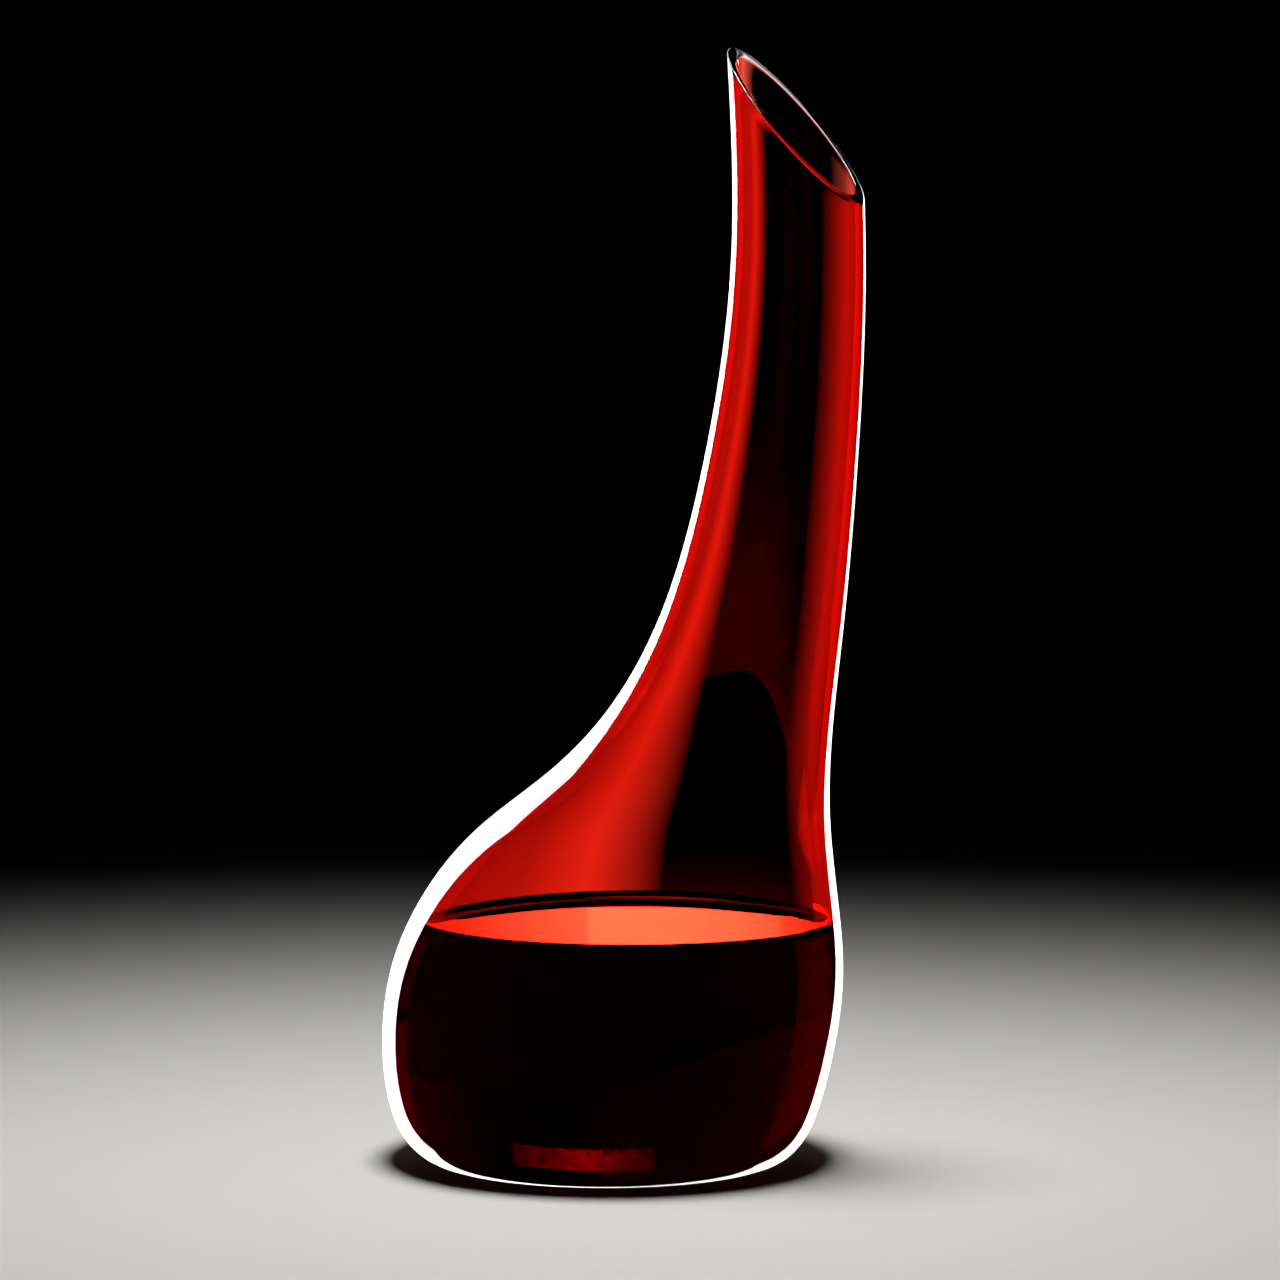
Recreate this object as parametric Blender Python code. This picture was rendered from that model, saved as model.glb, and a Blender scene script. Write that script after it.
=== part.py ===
"""Wine decanter: a clear outer glass layer over a ruby inner one, with one bottle of wine in it.

Metres, +Z up.  The origin is the centre of the flat face that the decanter stands on.  The neck
leans towards +X, and so does the low side of the slanted mouth.
"""

import math

import bmesh
import bpy
import numpy as np

MM = 0.001

# Outside of the glass: height, forward offset of the centre, and radius of each round section.
SECTIONS_MM = (
    (0.0, 0.0, 46.0),      # edge of the flat standing face
    (5.0, -0.5, 56.0),
    (20.0, -0.5, 62.5),
    (50.0, 2.5, 65.0),     # widest part of the bowl
    (75.0, 7.0, 59.5),
    (95.0, 14.5, 50.5),
    (111.0, 25.0, 40.5),   # shoulder
    (130.0, 35.5, 32.0),
    (160.0, 46.0, 25.5),
    (205.0, 54.5, 21.2),
    (260.0, 59.2, 18.6),
    (330.0, 56.0, 18.0),   # above the mouth, so that the slanted cut has glass to go through
)
UNDERSIDE_SPREAD = 1.2     # how fast the outline leaves the standing face, against its first chord

# Mouth: a slanted cut through the neck.
MOUTH_CENTRE_MM = (58.5, 0.0, 294.2)
MOUTH_SLOPE_DEG = 48.7
LIP_ROUND_MM = 0.3         # radius of the polished edges of the lip

# Thicknesses at the floor, round the bowl, at the shoulder, in the neck and at the lip.  Both
# layers are thicker in the floor, where the glass was stretched least.
LAYER_HEIGHTS_MM = (0.0, 25.0, 100.0, 180.0, 300.0)
CASING_MM = (3.0, 1.9, 1.9, 2.1, 1.7)
LINING_MM = (0.6, 0.4, 0.4, 0.4, 0.4)
GAP_MM = (0.3, 0.3, 0.3, 0.3, 0.3)   # between one solid and the next

WINE_LEVEL_MM = 67.5       # nearly one 750 ml bottle

SIDES = 36                 # points round each section
BOWL_RINGS = 19            # level rings, from the standing face to the neck
NECK_RINGS = 8             # rings that tilt step by step, from the neck to the mouth
NECK_SECTION = 9           # the section that they start from
LIP_STEPS = 3
SMOOTH_BELOW_DEG = 35.0


def smooth_curve(points, start_slope):
    """Return a function through the points with continuous curvature, and its knots."""
    points = np.asarray(points, dtype=float)
    chords = np.linalg.norm(np.diff(points, axis=0), axis=1)
    knots = np.concatenate([[0.0], np.cumsum(np.sqrt(chords))])
    steps = np.diff(knots)[:, None]
    slopes = np.diff(points, axis=0) / steps
    matrix = np.eye(len(points))
    right = np.zeros_like(points)
    matrix[0, :2] = 2 * steps[0, 0], steps[0, 0]
    right[0] = 6 * (slopes[0] - start_slope)
    for i in range(1, len(points) - 1):
        before, after = steps[i - 1, 0], steps[i, 0]
        matrix[i, i - 1:i + 2] = before, 2 * (before + after), after
        right[i] = 6 * (slopes[i] - slopes[i - 1])
    bends = np.linalg.solve(matrix, right)

    def at(t):
        i = int(np.clip(np.searchsorted(knots, t, side="right") - 1, 0, len(steps) - 1))
        step = steps[i, 0]
        b = (t - knots[i]) / step
        a = 1 - b
        bend = (a ** 3 - a) * bends[i] + (b ** 3 - b) * bends[i + 1]
        return a * points[i] + b * points[i + 1] + bend * step ** 2 / 6

    return at, knots


def decanter_outline():
    """Return the outside as a function giving (height, forward offset, radius), and its knots."""
    first, second = SECTIONS_MM[0], SECTIONS_MM[1]
    chord = math.sqrt(math.dist(first, second))
    spread = UNDERSIDE_SPREAD * (second[2] - first[2]) / chord
    return smooth_curve(SECTIONS_MM, np.array([0.0, 0.0, spread]))


OUTLINE, KNOTS = decanter_outline()


def side_point(t, side):
    """Return (x, z) on the back (side -1) or front (side +1) outline of the decanter."""
    height, centre, radius = OUTLINE(t)
    return np.array([centre + side * radius, height])


def inward(t, side):
    """Return the unit vector from the back or front outline into the glass."""
    step = 1e-3
    along = side_point(t + step, side) - side_point(max(t - step, 0.0), side)
    along /= np.linalg.norm(along)
    return -side * np.array([along[1], -along[0]])


def wall_depth(layers, t):
    """Return how deep under the outside the given stack of layers reaches."""
    height = OUTLINE(t)[0]
    return sum(np.interp(height, LAYER_HEIGHTS_MM, layer) for layer in layers)


def wall_point(t, angle, layers, inset=0.0):
    """Return a point under the outside, on a circle that spans from the back to the front."""
    depth = wall_depth(layers, t) + inset
    back = side_point(t, -1) + depth * inward(t, -1)
    front = side_point(t, +1) + depth * inward(t, +1)
    middle = (back + front) / 2
    half = (front - back) / 2
    x, z = middle + half * math.cos(angle)
    return np.array([x, np.linalg.norm(half) * math.sin(angle), z])


def mouth_distance(point):
    """Return how far a point is above the slanted cut."""
    slope = math.radians(MOUTH_SLOPE_DEG)
    offset = point - np.array(MOUTH_CENTRE_MM)
    return offset[0] * math.sin(slope) + offset[2] * math.cos(slope)


def wine_distance(point):
    """Return how far a point is above the surface of the wine."""
    return point[2] - WINE_LEVEL_MM


def reach(distance, angle, layers, inset=0.0, below=0.0):
    """Return where the wall, going up at this angle, comes within `below` of a cutting plane."""
    low, high = 0.0, KNOTS[-1]
    for _ in range(40):
        middle = (low + high) / 2
        if distance(wall_point(middle, angle, layers, inset)) < -below:
            low = middle
        else:
            high = middle
    return low


ANGLES = [2 * math.pi * i / SIDES for i in range(SIDES)]
BOWL_STOPS = np.linspace(0.0, KNOTS[NECK_SECTION], BOWL_RINGS)


def level_rings(layers, stops=BOWL_STOPS):
    """Return the rings of one surface at the given stops, by default from its bottom to the neck."""
    return [[wall_point(t, angle, layers) for angle in ANGLES] for t in stops]


def neck_rings(layers, below):
    """Return the rings from the neck up to the mouth, tilting as they rise."""
    start = KNOTS[NECK_SECTION]
    ends = [reach(mouth_distance, angle, layers, 0.0, below) for angle in ANGLES]
    rings = []
    for i in range(1, NECK_RINGS + 1):
        stops = [start + (end - start) * i / NECK_RINGS for end in ends]
        rings.append([wall_point(t, a, layers) for t, a in zip(stops, ANGLES)])
    return rings


def lip_rings(layers, into_glass):
    """Return a quarter round from a wall to the cut face; into_glass is +1 or -1."""
    rings = []
    for i in range(1, LIP_STEPS + 1):
        turn = math.pi / 2 * i / LIP_STEPS
        inset = into_glass * LIP_ROUND_MM * (1 - math.cos(turn))
        below = LIP_ROUND_MM * (1 - math.sin(turn))
        stops = [reach(mouth_distance, a, layers, inset, below) for a in ANGLES]
        rings.append([wall_point(t, a, layers, inset) for t, a in zip(stops, ANGLES)])
    return rings


def glass_surface(layers, into_glass):
    """Return all rings of one glass surface; into_glass is 0 where its edge stays sharp."""
    below = LIP_ROUND_MM if into_glass else 0.0
    rings = level_rings(layers) + neck_rings(layers, below)
    if into_glass:
        rings += lip_rings(layers, into_glass)
    return rings


def shell_rings(outside, inside):
    """Return one closed run of rings: up the outside, over the lip and down the inside."""
    return outside + inside[::-1]


def wine_rings():
    """Return the rings of the wine, level with those of the lining, and one at its surface."""
    layers = (CASING_MM, GAP_MM, LINING_MM, GAP_MM)
    ends = [reach(wine_distance, angle, layers) for angle in ANGLES]
    surface = [wall_point(t, a, layers) for t, a in zip(ends, ANGLES)]
    return level_rings(layers, BOWL_STOPS[BOWL_STOPS < min(ends)]) + [surface]


def make_object(name, rings, material):
    """Build a closed object by bridging the rings and closing the first and last ones."""
    mesh = bpy.data.meshes.new(name)
    bm = bmesh.new()
    loops = [[bm.verts.new(point * MM) for point in ring] for ring in rings]
    for lower, upper in zip(loops, loops[1:]):
        for i in range(SIDES):
            j = (i + 1) % SIDES
            bm.faces.new((lower[i], lower[j], upper[j], upper[i]))
    bm.faces.new(loops[0][::-1])
    bm.faces.new(loops[-1])
    bmesh.ops.recalc_face_normals(bm, faces=bm.faces)
    bm.to_mesh(mesh)
    bm.free()
    mesh.shade_smooth()
    mesh.set_sharp_from_angle(angle=math.radians(SMOOTH_BELOW_DEG))
    mesh.materials.append(material)
    thing = bpy.data.objects.new(name, mesh)
    bpy.context.scene.collection.objects.link(thing)
    return thing


def make_material(name, colour, roughness, transmission, ior):
    """Return a Principled material."""
    material = bpy.data.materials.new(name)
    material.use_nodes = True
    shader = material.node_tree.nodes["Principled BSDF"]
    shader.inputs["Base Color"].default_value = (*colour, 1.0)
    shader.inputs["Roughness"].default_value = roughness
    shader.inputs["Metallic"].default_value = 0.0
    shader.inputs["Transmission Weight"].default_value = transmission
    shader.inputs["IOR"].default_value = ior
    return material


def clear_casing():
    """Outer layer: clear glass from the standing face to the lip."""
    outside = glass_surface((), +1)
    inside = glass_surface((CASING_MM,), 0)
    glass = make_material("clear_glass", (1.0, 1.0, 1.0), 0.0, 1.0, 1.52)
    return make_object("clear_casing", shell_rings(outside, inside), glass)


def ruby_lining():
    """Inner layer: ruby glass that lines the whole of the casing."""
    outside = glass_surface((CASING_MM, GAP_MM), 0)
    inside = glass_surface((CASING_MM, GAP_MM, LINING_MM), -1)
    glass = make_material("ruby_glass", (0.75, 0.02, 0.02), 0.0, 1.0, 1.52)
    return make_object("ruby_lining", shell_rings(outside, inside), glass)


def wine():
    """The wine, up to a level surface."""
    liquid = make_material("red_wine", (0.12, 0.004, 0.008), 0.0, 0.6, 1.34)
    return make_object("wine", wine_rings(), liquid)


def main():
    for thing in list(bpy.data.objects):
        bpy.data.objects.remove(thing, do_unlink=True)
    clear_casing()
    ruby_lining()
    wine()


main()
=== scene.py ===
"""Looks of the wine decanter: polished cased glass with ruby inside, red wine, floor and studio."""

import math

import bmesh
import bpy
import numpy as np
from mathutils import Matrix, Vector


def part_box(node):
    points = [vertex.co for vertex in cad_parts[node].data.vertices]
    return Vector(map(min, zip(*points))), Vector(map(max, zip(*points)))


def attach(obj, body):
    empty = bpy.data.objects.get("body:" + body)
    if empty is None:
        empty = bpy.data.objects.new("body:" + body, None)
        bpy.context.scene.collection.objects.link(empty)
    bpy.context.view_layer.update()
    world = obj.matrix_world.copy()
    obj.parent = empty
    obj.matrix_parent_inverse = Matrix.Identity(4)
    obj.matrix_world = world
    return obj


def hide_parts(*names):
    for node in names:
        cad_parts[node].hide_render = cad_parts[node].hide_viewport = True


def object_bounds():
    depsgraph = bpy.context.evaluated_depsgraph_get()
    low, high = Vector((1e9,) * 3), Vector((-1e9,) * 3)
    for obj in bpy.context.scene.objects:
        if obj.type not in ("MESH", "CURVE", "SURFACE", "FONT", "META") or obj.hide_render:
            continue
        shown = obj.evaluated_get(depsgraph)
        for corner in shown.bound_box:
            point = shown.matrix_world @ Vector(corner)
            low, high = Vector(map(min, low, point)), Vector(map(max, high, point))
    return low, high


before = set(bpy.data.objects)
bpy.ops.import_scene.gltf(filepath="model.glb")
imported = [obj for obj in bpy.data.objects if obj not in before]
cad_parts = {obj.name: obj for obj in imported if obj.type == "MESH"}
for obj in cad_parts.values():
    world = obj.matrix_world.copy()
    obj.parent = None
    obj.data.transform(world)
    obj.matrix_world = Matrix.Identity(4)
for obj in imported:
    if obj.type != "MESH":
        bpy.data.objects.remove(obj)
cad_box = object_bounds()

MM = 0.001

# Outside of the glass: height, forward offset of the centre, and radius of each round section.
SECTIONS_MM = (
    (0.0, 0.0, 46.0),
    (5.0, -0.5, 56.0),
    (20.0, -0.5, 62.5),
    (50.0, 2.5, 65.0),
    (75.0, 7.0, 59.5),
    (95.0, 14.5, 50.5),
    (111.0, 25.0, 40.5),
    (130.0, 35.5, 32.0),
    (160.0, 46.0, 25.5),
    (205.0, 54.5, 21.2),
    (260.0, 59.2, 18.6),
    (330.0, 56.0, 18.0),
)
UNDERSIDE_SPREAD = 1.2

MOUTH_CENTRE_MM = (58.5, 0.0, 294.2)
MOUTH_SLOPE_DEG = 48.7
LIP_ROUND_MM = 0.55

LAYER_HEIGHTS_MM = (0.0, 25.0, 100.0, 180.0, 300.0)
CASING_MM = (3.0, 1.9, 1.9, 2.1, 1.7)
LINING_MM = (0.6, 0.4, 0.4, 0.4, 0.4)
GAP_MM = (0.3, 0.3, 0.3, 0.3, 0.3)
WALL = (CASING_MM, GAP_MM, LINING_MM)
UNDER_BORE_MM = 0.03       # clear glass left between the ruby and the bore
INTO_WALL_MM = 0.09        # how far the wine's mesh reaches past the bore, so that no air shows

WINE_LEVEL_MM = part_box("wine")[1][2] / MM
MENISCUS_RISE_MM = 2.5
MENISCUS_WIDTH_MM = 2.2

SIDES = 128
BOWL_RINGS = 64
NECK_RINGS = 30
NECK_SECTION = 9
LIP_STEPS = 8


# ---------------------------------------------------------------- shape


def smooth_curve(points, start_slope):
    """Return a function through the points with continuous curvature, and its knots."""
    points = np.asarray(points, dtype=float)
    chords = np.linalg.norm(np.diff(points, axis=0), axis=1)
    knots = np.concatenate([[0.0], np.cumsum(np.sqrt(chords))])
    steps = np.diff(knots)[:, None]
    slopes = np.diff(points, axis=0) / steps
    matrix = np.eye(len(points))
    right = np.zeros_like(points)
    matrix[0, :2] = 2 * steps[0, 0], steps[0, 0]
    right[0] = 6 * (slopes[0] - start_slope)
    for i in range(1, len(points) - 1):
        before, after = steps[i - 1, 0], steps[i, 0]
        matrix[i, i - 1:i + 2] = before, 2 * (before + after), after
        right[i] = 6 * (slopes[i] - slopes[i - 1])
    bends = np.linalg.solve(matrix, right)

    def at(t):
        i = np.clip(np.searchsorted(knots, t, side="right") - 1, 0, len(steps) - 1)
        step = steps[i]
        b = (t - knots[i])[..., None] / step
        a = 1 - b
        bend = (a ** 3 - a) * bends[i] + (b ** 3 - b) * bends[i + 1]
        return a * points[i] + b * points[i + 1] + bend * step ** 2 / 6

    return at, knots


def decanter_outline():
    """Return the outside as a function giving (height, forward offset, radius), and its knots."""
    first, second = SECTIONS_MM[0], SECTIONS_MM[1]
    spread = UNDERSIDE_SPREAD * (second[2] - first[2]) / math.sqrt(math.dist(first, second))
    return smooth_curve(SECTIONS_MM, np.array([0.0, 0.0, spread]))


OUTLINE, KNOTS = decanter_outline()
ANGLES = np.arange(SIDES) * 2 * math.pi / SIDES
BOWL_STOPS = np.linspace(0.0, KNOTS[NECK_SECTION], BOWL_RINGS)


def side_point(t, side):
    """Return (x, z) on the back (side -1) or front (side +1) outline of the decanter."""
    height, centre, radius = np.moveaxis(OUTLINE(t), -1, 0)
    return np.stack([centre + side * radius, height], axis=-1)


def inward(t, side):
    """Return the unit vector from the back or front outline into the glass."""
    step = 1e-3
    along = side_point(t + step, side) - side_point(np.maximum(t - step, 0.0), side)
    along /= np.linalg.norm(along, axis=-1, keepdims=True)
    return -side * np.stack([along[..., 1], -along[..., 0]], axis=-1)


def wall_points(t, layers, inset=0.0):
    """Return points under the outside, one ring for each row of t and one angle for each column."""
    heights = OUTLINE(t)[..., 0]
    depth = inset + sum(np.interp(heights, LAYER_HEIGHTS_MM, layer) for layer in layers)
    depth = np.broadcast_to(depth, t.shape)[..., None]
    back = side_point(t, -1) + depth * inward(t, -1)
    front = side_point(t, +1) + depth * inward(t, +1)
    middle, half = (back + front) / 2, (front - back) / 2
    across = middle + half * np.cos(ANGLES)[..., None]
    y = np.linalg.norm(half, axis=-1) * np.sin(ANGLES)
    return np.stack([across[..., 0], np.broadcast_to(y, t.shape), across[..., 1]], axis=-1)


def above_mouth(points):
    """Return how far points are above the slanted cut."""
    slope = math.radians(MOUTH_SLOPE_DEG)
    offset = points - np.array(MOUTH_CENTRE_MM)
    return offset[..., 0] * math.sin(slope) + offset[..., 2] * math.cos(slope)


def above_wine(points):
    """Return how far points are above the surface of the wine."""
    return points[..., 2] - WINE_LEVEL_MM


def reach(distance, layers, inset=0.0, below=0.0):
    """Return where the wall, going up at each angle, comes within `below` of a surface."""
    low, high = np.zeros(SIDES), np.full(SIDES, KNOTS[-1])
    for _ in range(40):
        middle = (low + high) / 2
        under = distance(wall_points(middle, layers, inset)) < -below
        low, high = np.where(under, middle, low), np.where(under, high, middle)
    return low


def level_rings(layers, inset=0.0, stops=BOWL_STOPS):
    """Return rings at the given stops, by default from the bottom up to the neck."""
    return wall_points(np.repeat(stops[:, None], SIDES, axis=1), layers, inset)


def tilting_rings(layers, inset, start, ends, count):
    """Return rings that go in even steps from a level stop to the given ends."""
    share = np.arange(1, count + 1)[:, None] / count
    return wall_points(start + (ends - start) * share, layers, inset)


def lip_rings(layers, into_glass, inset):
    """Return a quarter round from a wall to the cut face; into_glass is +1 or -1."""
    rings = []
    for i in range(1, LIP_STEPS + 1):
        turn = math.pi / 2 * i / LIP_STEPS
        deeper = inset + into_glass * LIP_ROUND_MM * (1 - math.cos(turn))
        below = LIP_ROUND_MM * (1 - math.sin(turn))
        rings.append(wall_points(reach(above_mouth, layers, deeper, below), layers, deeper))
    return np.array(rings)


def glass_surface(layers, into_glass, inset=0.0, short=0.0):
    """Return the rings of one glass surface, from its bottom to its edge at the mouth."""
    below = short + (LIP_ROUND_MM if into_glass else 0.0)
    ends = reach(above_mouth, layers, inset, below)
    parts = [
        level_rings(layers, inset),
        tilting_rings(layers, inset, KNOTS[NECK_SECTION], ends, NECK_RINGS),
    ]
    if into_glass:
        parts.append(lip_rings(layers, into_glass, inset))
    return np.concatenate(parts)


def mesh_from_rings(name, rings):
    """Bridge the rings, close both ends and return the object."""
    bm = bmesh.new()
    loops = [[bm.verts.new(point * MM) for point in ring] for ring in rings]
    for lower, upper in zip(loops, loops[1:]):
        for i in range(SIDES):
            j = (i + 1) % SIDES
            bm.faces.new((lower[i], lower[j], upper[j], upper[i]))
    for loop, order in ((loops[0], -1), (loops[-1], 1)):
        centre = bm.verts.new(sum((v.co for v in loop), Vector()) / SIDES)
        for i in range(SIDES):
            bm.faces.new((loop[i], loop[(i + 1) % SIDES], centre)[::order])
    bmesh.ops.recalc_face_normals(bm, faces=bm.faces)
    mesh = bpy.data.meshes.new(name)
    bm.to_mesh(mesh)
    bm.free()
    mesh.shade_smooth()
    piece = bpy.data.objects.new(name, mesh)
    bpy.context.scene.collection.objects.link(piece)
    return piece


# ---------------------------------------------------------------- materials


class Nodes:
    """Short hand for building a node tree."""

    def __init__(self, tree):
        self.tree = tree

    def add(self, kind, **settings):
        node = self.tree.nodes.new(kind)
        for key, value in settings.items():
            if key in node.inputs:
                node.inputs[key].default_value = value
            else:
                setattr(node, key, value)
        return node

    def join(self, out, into):
        self.tree.links.new(out, into)

    def math(self, operation, *values):
        """Add a Math node; each value is a number or a socket."""
        node = self.add("ShaderNodeMath", operation=operation)
        for socket, value in zip(node.inputs, values):
            if isinstance(value, bpy.types.NodeSocket):
                self.join(value, socket)
            else:
                socket.default_value = value
        return node.outputs[0]


def new_material(name):
    """Return an empty material, its nodes, its shader and its output."""
    material = bpy.data.materials.new(name)
    material.use_nodes = True
    material.node_tree.nodes.clear()
    nodes = Nodes(material.node_tree)
    output = nodes.add("ShaderNodeOutputMaterial")
    shader = nodes.add("ShaderNodeBsdfPrincipled")
    nodes.join(shader.outputs[0], output.inputs["Surface"])
    return material, nodes, shader, output


def set_inputs(node, **values):
    """Set inputs by name, with _ for a space."""
    for key, value in values.items():
        node.inputs[key.replace("_", " ")].default_value = value


def drawn_noise(nodes, upright, **settings):
    """Return noise in the object's own space, drawn out upwards when upright is small."""
    place = nodes.add("ShaderNodeTexCoord")
    stretch = nodes.add("ShaderNodeMapping")
    stretch.inputs["Scale"].default_value = (1.0, 1.0, upright)
    noise = nodes.add("ShaderNodeTexNoise", **settings)
    nodes.join(place.outputs["Object"], stretch.inputs["Vector"])
    nodes.join(stretch.outputs["Vector"], noise.inputs["Vector"])
    return noise.outputs["Fac"]


def uneven_colour(nodes, scale, upright, thick, thin):
    """Return a colour that drifts between two shades."""
    ramp = nodes.add("ShaderNodeValToRGB")
    ramp.color_ramp.elements[0].position = 0.35
    ramp.color_ramp.elements[1].position = 0.65
    ramp.color_ramp.elements[0].color = thick
    ramp.color_ramp.elements[1].color = thin
    nodes.join(drawn_noise(nodes, upright, Scale=scale, Detail=3.0), ramp.inputs["Fac"])
    return ramp.outputs["Color"]


def clear_glass(name, wet=False):
    """Polished clear glass with faint waves; under wine its inside doesn't reflect."""
    material, nodes, shader, _ = new_material(name)
    set_inputs(shader, Base_Color=(1, 1, 1, 1), Roughness=0.0, IOR=1.5, Transmission_Weight=1.0)
    waves = drawn_noise(nodes, 0.3, Scale=26.0, Detail=2.0, Roughness=0.4)
    bump = nodes.add("ShaderNodeBump", Strength=0.05, Distance=0.001)
    nodes.join(waves, bump.inputs["Height"])
    nodes.join(bump.outputs["Normal"], shader.inputs["Normal"])
    if wet:
        shader.inputs["Specular Tint"].default_value = (0, 0, 0, 1)
    return material


def ruby_glass():
    """Ruby inner layer, fused to the clear one, so that light goes straight into it."""
    material, nodes, shader, output = new_material("ruby_glass")
    set_inputs(shader, Base_Color=(1, 1, 1, 1), Roughness=0.0, IOR=1.0, Transmission_Weight=1.0)
    nodes.join(uneven_colour(nodes, 18.0, 0.25, (1.0, 0.90, 0.88, 1), (1.0, 1.0, 1.0, 1)),
               shader.inputs["Base Color"])
    tint = nodes.add("ShaderNodeVolumeAbsorption", Density=8000.0)
    tint.inputs["Color"].default_value = (0.96, 0.30, 0.15, 1.0)
    nodes.join(tint.outputs[0], output.inputs["Volume"])
    return material


def red_wine():
    """Red wine: clear at its thin edge, nearly black through the bowl."""
    material, nodes, shader, output = new_material("red_wine")
    set_inputs(shader, Base_Color=(1, 1, 1, 1), Roughness=0.0, IOR=1.34, Transmission_Weight=1.0,
               Specular_Tint=(0, 0, 0, 1))
    nodes.join(uneven_colour(nodes, 30.0, 1.0, (0.96, 0.90, 0.92, 1), (1.0, 1.0, 1.0, 1)),
               shader.inputs["Base Color"])
    depth = nodes.add("ShaderNodeVolumeAbsorption", Density=500.0)
    depth.inputs["Color"].default_value = (0.91, 0.02, 0.1, 1.0)
    nodes.join(depth.outputs[0], output.inputs["Volume"])
    return material


def pale_floor():
    """Matt pale floor with a barely visible mottle."""
    material, nodes, shader, _ = new_material("pale_floor")
    set_inputs(shader, Roughness=0.6, Specular_IOR_Level=0.0)
    noise = nodes.add("ShaderNodeTexNoise", Scale=6.0, Detail=4.0)
    ramp = nodes.add("ShaderNodeValToRGB")
    ramp.color_ramp.elements[0].color = (0.74, 0.73, 0.71, 1)
    ramp.color_ramp.elements[1].color = (0.80, 0.79, 0.77, 1)
    nodes.join(noise.outputs["Fac"], ramp.inputs["Fac"])
    nodes.join(ramp.outputs["Color"], shader.inputs["Base Color"])
    return material


# ---------------------------------------------------------------- pieces


def dress(piece, material, slot, *replaced):
    """Give a piece its material and its body, and hide the CAD parts that it stands for."""
    piece.data.materials.append(material)
    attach(piece, "root")
    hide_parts(*replaced)


def make_glass():
    outside = glass_surface((), +1)
    inside = glass_surface(WALL, -1)
    piece = mesh_from_rings("clear_glass_body", np.concatenate([outside, inside[::-1]]))
    dress(piece, clear_glass("clear_glass"), "clear_glass", "clear_casing")
    piece.data.materials.append(clear_glass("clear_glass_under_wine", wet=True))
    contact = (WINE_LEVEL_MM + MENISCUS_RISE_MM) * MM
    first_inside = len(outside) * SIDES
    for face in piece.data.polygons:
        if min(face.vertices) >= first_inside and face.center.z < contact:
            face.material_index = 1


def make_ruby():
    outside = glass_surface((CASING_MM, GAP_MM), 0, 0.0, 0.25)
    inside = glass_surface(WALL, 0, -UNDER_BORE_MM, 0.25)
    piece = mesh_from_rings("ruby_glass_layer", np.concatenate([outside, inside[::-1]]))
    dress(piece, ruby_glass(), "ruby_glass", "ruby_lining")


def make_wine():
    ends = reach(above_wine, WALL, -INTO_WALL_MM, -MENISCUS_RISE_MM)
    stops = BOWL_STOPS[BOWL_STOPS < ends.min()]
    side = level_rings(WALL, -INTO_WALL_MM, stops)
    edge = wall_points(ends, WALL, -INTO_WALL_MM)
    centre = edge.mean(axis=0)
    radius = np.linalg.norm((edge - centre)[:, :2], axis=1)[:, None]
    rings = []
    for inward_mm in (0.3, 0.6, 1.0, 1.5, 2.1, 2.9, 3.9, 5.2, 7.0, 9.5, 13.0, 20.0, 32.0, 46.0):
        share = 1 - inward_mm / radius
        ring = centre + (edge - centre) * share
        rise = MENISCUS_RISE_MM * math.exp(-inward_mm / MENISCUS_WIDTH_MM)
        ring[:, 2] = WINE_LEVEL_MM + rise
        rings.append(ring)
    piece = mesh_from_rings("red_wine", np.concatenate([side, edge[None], np.array(rings)]))
    dress(piece, red_wine(), "red_wine", "wine")


make_glass()
make_ruby()
make_wine()


# ---------------------------------------------------------------- stage

AIM = Vector((0.0090, 0.0031, 0.1491))
AZIMUTH_DEG = 25.22
ELEVATION_DEG = 4.5
DISTANCE = 1.522
FOCAL_MM = 150.6
SENSOR_MM = 36.0

FLOOR_RADIUS = 1.6
KEY_POWER = 80.0
KEY_CONE_DEG = 42.0
KEY_RADIUS = 0.22          # wide, so that the shadow is soft
KEY_HEIGHT = 1.5
OVERHEAD_AT = Vector((0.03, 0, 1.4))
OVERHEAD_SIZE = 1.2
OVERHEAD_RADIANCE = 40.0
WORLD_STRENGTH = 0.0006
BEHIND = 0.5               # from the decanter to the two panels behind it


def towards(azimuth_deg, elevation_deg):
    """Return the unit vector from the object towards a viewpoint; azimuth 0 is -Y, 90 is +X."""
    a, e = math.radians(azimuth_deg), math.radians(elevation_deg)
    return Vector((math.sin(a) * math.cos(e), -math.cos(a) * math.cos(e), math.sin(e)))


def look(thing, place, target):
    """Put a camera or a light at a place, facing a target."""
    thing.location = place
    thing.rotation_euler = (target - place).to_track_quat("-Z", "Y").to_euler()


def add_camera():
    data = bpy.data.cameras.new("camera")
    data.lens = FOCAL_MM
    data.sensor_width = SENSOR_MM
    data.clip_start = 0.01
    camera = bpy.data.objects.new("camera", data)
    bpy.context.scene.collection.objects.link(camera)
    look(camera, AIM + DISTANCE * towards(AZIMUTH_DEG, ELEVATION_DEG), AIM)
    bpy.context.scene.camera = camera


def add_floor():
    bm = bmesh.new()
    bmesh.ops.create_circle(bm, cap_ends=True, segments=96, radius=FLOOR_RADIUS)
    mesh = bpy.data.meshes.new("floor")
    bm.to_mesh(mesh)
    bm.free()
    floor = bpy.data.objects.new("floor", mesh)
    floor.location.z = cad_box[0][2]
    floor.visible_glossy = False
    mesh.materials.append(pale_floor())
    bpy.context.scene.collection.objects.link(floor)


# The studio is laid out as the camera sees it: how far behind the decanter, and how far right.
FORWARD = -towards(AZIMUTH_DEG, 0)
RIGHT = Vector((math.cos(math.radians(AZIMUTH_DEG)), math.sin(math.radians(AZIMUTH_DEG)), 0))


def studio_point(right, behind):
    """Return the floor point that is so far right of the decanter and so far behind it."""
    return right * RIGHT + behind * FORWARD


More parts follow.
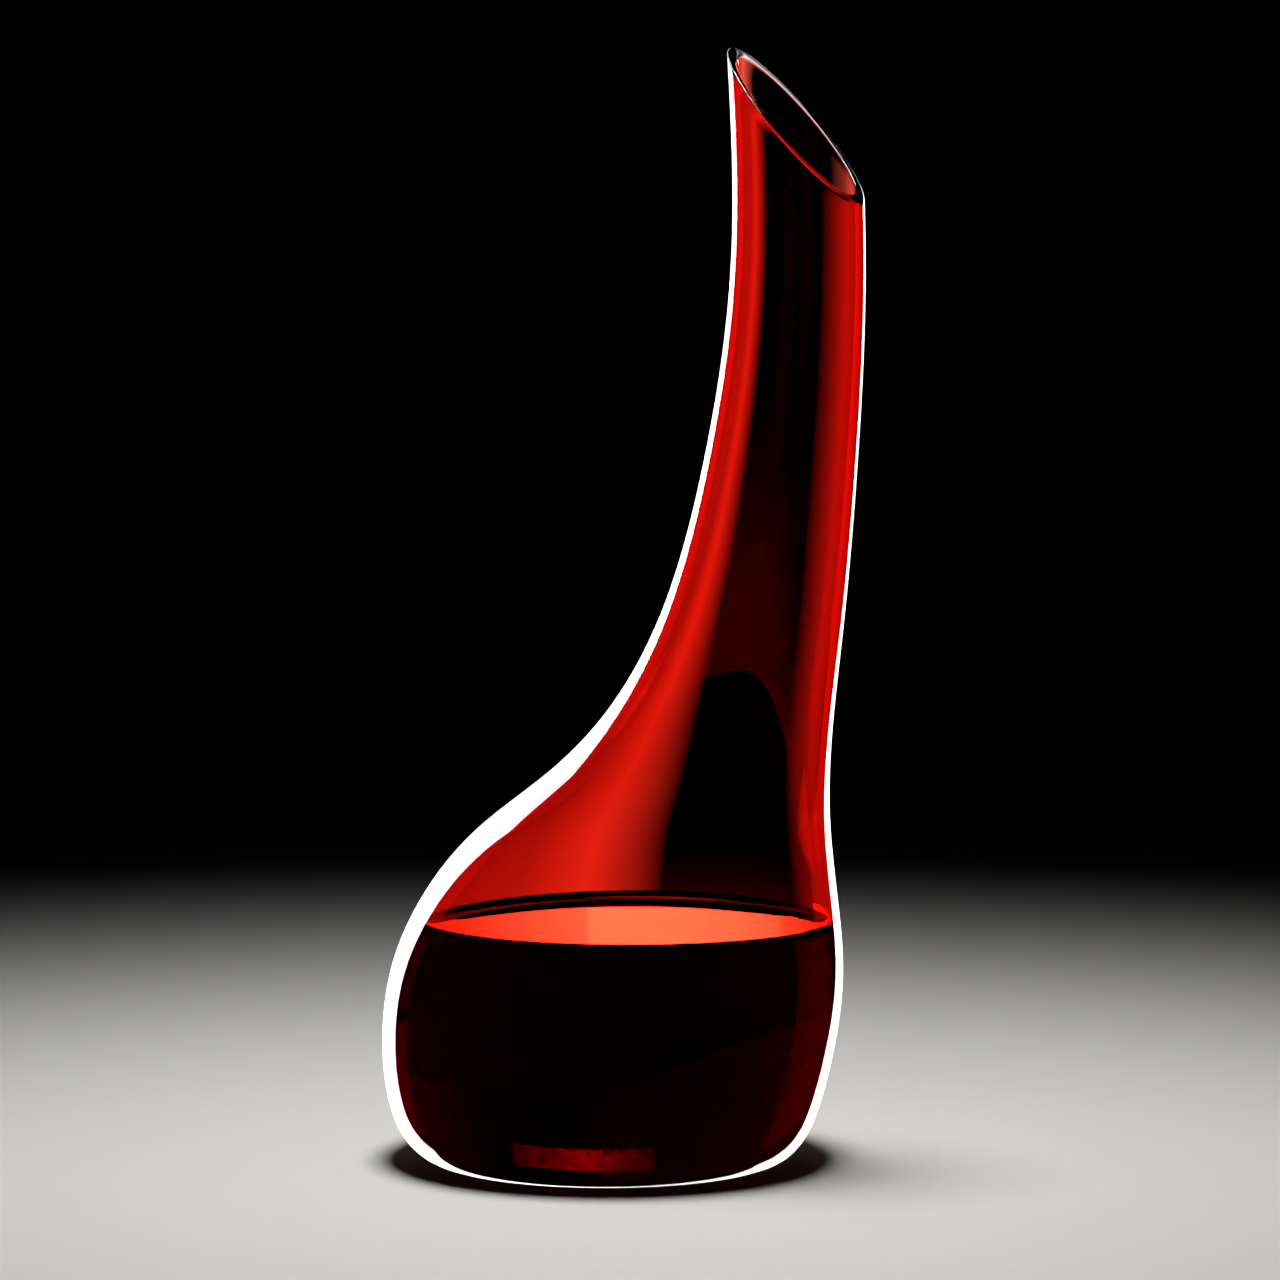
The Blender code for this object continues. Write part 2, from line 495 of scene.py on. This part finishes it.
def at_bearing(bearing_deg, distance):
    """Return the floor point at a bearing from straight behind, positive to the right."""
    a = math.radians(bearing_deg)
    return studio_point(distance * math.sin(a), distance * math.cos(a))


def add_panel(name, left, right, heights, seen, stops):
    """Stand a white panel between two floor points, seen only "in" or only "through" the glass.

    stops are (share of the width from the left end, radiance).
    """
    width = (right - left).length
    height = heights[1] - heights[0]
    brightest = max(radiance for _, radiance in stops)
    data = bpy.data.lights.new(name, "AREA")
    data.shape = "RECTANGLE"
    data.size = width
    data.size_y = height
    data.energy = math.pi * width * height
    data.use_nodes = True
    nodes = Nodes(data.node_tree)
    shader = data.node_tree.nodes["Emission"]
    place = nodes.add("ShaderNodeTexCoord")
    split = nodes.add("ShaderNodeSeparateXYZ")
    ramp = nodes.add("ShaderNodeValToRGB")
    elements = ramp.color_ramp.elements
    while len(elements) < len(stops):
        elements.new(0.5)
    for element, (share, radiance) in zip(elements, stops):
        element.position = share
        element.color = [radiance / brightest] * 3 + [1]
    nodes.join(place.outputs["UV"], split.inputs[0])
    nodes.join(nodes.math("SUBTRACT", 1.0, split.outputs[0]), ramp.inputs["Fac"])
    nodes.join(ramp.outputs["Color"], shader.inputs["Color"])
    shader.inputs["Strength"].default_value = brightest
    light = bpy.data.objects.new(name, data)
    light.visible_camera = False
    light.visible_diffuse = False
    light.visible_glossy = seen == "in"
    light.visible_transmission = seen == "through"
    bpy.context.scene.collection.objects.link(light)
    facing = (right - left).normalized().cross(Vector((0, 0, 1)))
    light.location = (left + right) / 2 + Vector((0, 0, sum(heights) / 2))
    light.rotation_euler = facing.to_track_quat("-Z", "Y").to_euler()


def add_key():
    """Light the floor round the decanter from straight above."""
    data = bpy.data.lights.new("key", "SPOT")
    data.energy = KEY_POWER
    data.spot_size = math.radians(KEY_CONE_DEG)
    data.spot_blend = 1.0
    data.shadow_soft_size = KEY_RADIUS
    light = bpy.data.objects.new("key", data)
    light.visible_camera = False
    light.visible_glossy = False
    bpy.context.scene.collection.objects.link(light)
    spot = studio_point(0, -0.03)
    look(light, spot + Vector((0, 0, KEY_HEIGHT)), spot)


def add_overhead():
    """Hang a soft light, bright in its middle, that draws fine lines along the lip."""
    data = bpy.data.lights.new("overhead", "AREA")
    data.size = OVERHEAD_SIZE
    data.energy = math.pi * OVERHEAD_SIZE ** 2
    data.use_nodes = True
    nodes = Nodes(data.node_tree)
    place = nodes.add("ShaderNodeTexCoord")
    split = nodes.add("ShaderNodeSeparateXYZ")
    nodes.join(place.outputs["UV"], split.inputs[0])
    glow = OVERHEAD_RADIANCE
    for side in split.outputs[:2]:
        other_side = nodes.math("SUBTRACT", 4.0, nodes.math("MULTIPLY", side, 4.0))
        hump = nodes.math("MULTIPLY", side, other_side)
        glow = nodes.math("MULTIPLY", hump, glow)
    nodes.join(glow, data.node_tree.nodes["Emission"].inputs["Strength"])
    light = bpy.data.objects.new("overhead", data)
    light.visible_camera = False
    light.visible_diffuse = False
    light.visible_transmission = False
    bpy.context.scene.collection.objects.link(light)
    look(light, OVERHEAD_AT, Vector((OVERHEAD_AT.x, 0, 0)))


def add_world():
    """Fill the shadows very faintly, so that the background stays dark."""
    world = bpy.data.worlds.new("studio")
    bpy.context.scene.world = world
    world.use_nodes = True
    background = world.node_tree.nodes["Background"]
    background.inputs["Color"].default_value = (0.9, 0.95, 1.0, 1.0)
    background.inputs["Strength"].default_value = WORLD_STRENGTH


# White panels behind the decanter, with a dark gap between them: name, left and right end, bottom
# and top, how it is seen, and its brightness across.
PANELS = (
    ("left_back", studio_point(-0.7, BEHIND), studio_point(0.02, BEHIND), (0.0, 0.45), "through",
     ((0.0, 1.5), (0.9, 0.7), (0.95, 1.2), (1.0, 0.0))),
    ("right_back", studio_point(0.1, BEHIND), studio_point(0.8, BEHIND), (0.0, 0.45), "through",
     ((0.0, 0.0), (0.1, 0.7), (1.0, 1.5))),
    ("left_strip", at_bearing(-42, 3.0), at_bearing(0, 3.0), (-2.0, 1.8), "in",
     ((0.0, 8.0), (1.0, 2.0))),
    ("right_strip", at_bearing(0, 0.75), at_bearing(36, 0.75), (-0.6, 0.4), "in",
     ((0.0, 1.5), (1.0, 6.0))),
    ("low_left", studio_point(-0.16, 0.2), studio_point(-0.06, 0.2), (0.0, 0.05), "through",
     ((0.0, 3.0), (1.0, 3.0))),
    ("low_right", studio_point(0.09, 0.2), studio_point(0.16, 0.2), (0.0, 0.05), "through",
     ((0.0, 3.0), (1.0, 3.0))),
    ("far_back", studio_point(-0.5, 4.0), studio_point(0.9, 4.0), (0.5, 0.8), "through",
     ((0.0, 5.0), (0.3, 20.0), (0.4, 200.0), (0.5, 200.0), (0.6, 20.0), (1.0, 5.0))),
)

add_camera()
add_floor()
add_world()
add_key()
add_overhead()
for panel in PANELS:
    add_panel(*panel)

scene = bpy.context.scene
scene.view_settings.view_transform = "Standard"
scene.cycles.max_bounces = 32
scene.cycles.transmission_bounces = 32
scene.cycles.transparent_max_bounces = 16
